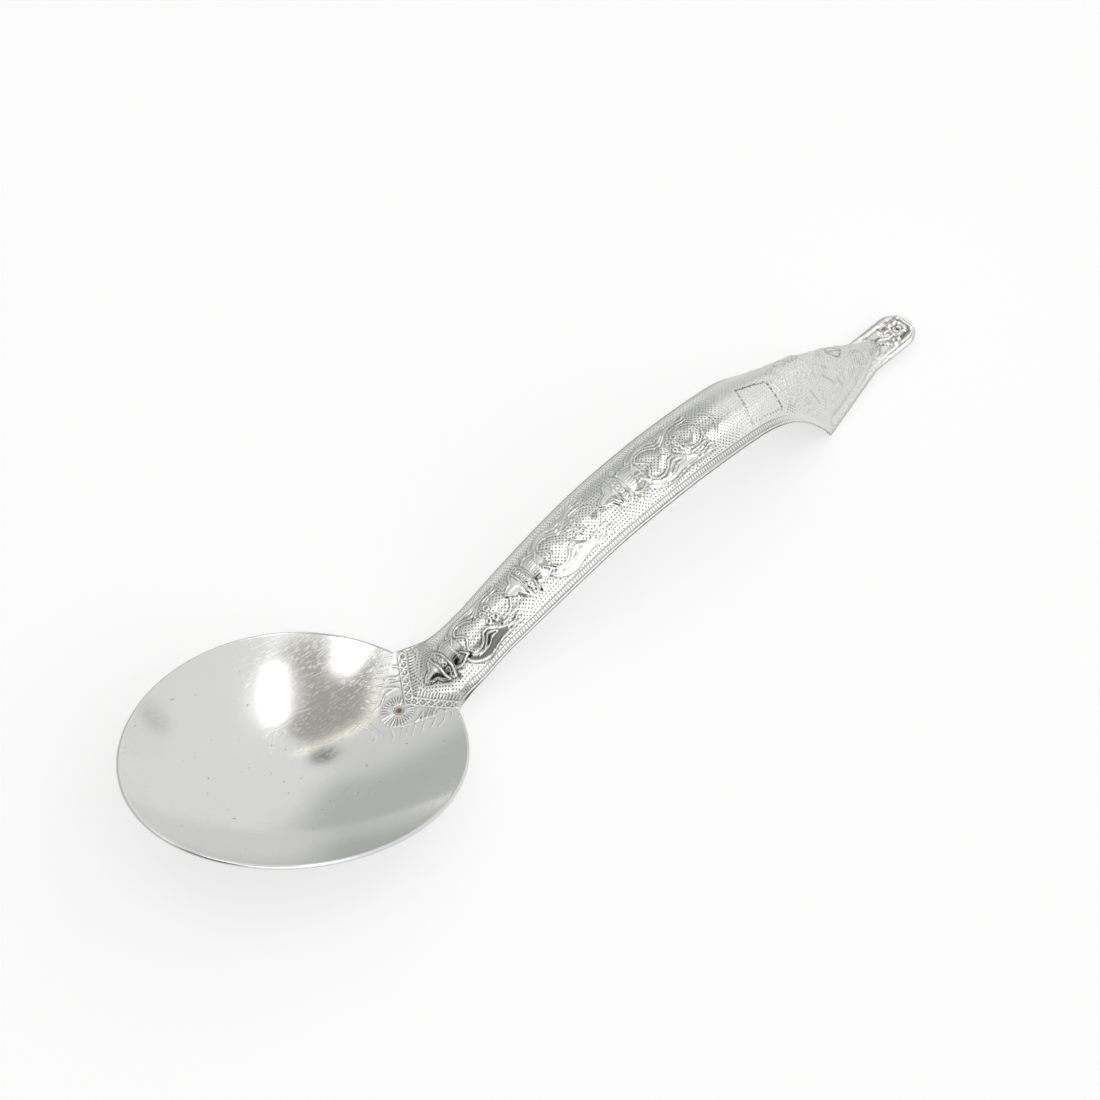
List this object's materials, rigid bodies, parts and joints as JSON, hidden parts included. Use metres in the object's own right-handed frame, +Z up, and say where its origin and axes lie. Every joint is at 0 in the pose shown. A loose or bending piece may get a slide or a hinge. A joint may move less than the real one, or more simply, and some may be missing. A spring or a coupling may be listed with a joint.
{
  "type": "serving spoon",
  "caption": "Rice serving spoon in pressed aluminium sheet: shallow oval bowl and an arched channel handle that ends in a barbed hood and a flat round tab.",
  "frame": {"origin": "middle of the footprint, on the table that the spoon lies on", "axes": "+Z up from the table, +X along the spoon from the bowl to the tab, +Y across it"},
  "size_m": [0.24, 0.068, 0.0292],
  "materials": {
    "bowl": "bright pressed sheet, lightly scratched",
    "handle": "bright pressed sheet, embossed on the upper side"
  },
  "bodies": {
    "root": {"bowl": "bowl", "handle": "handle"}
  },
  "joints": []
}
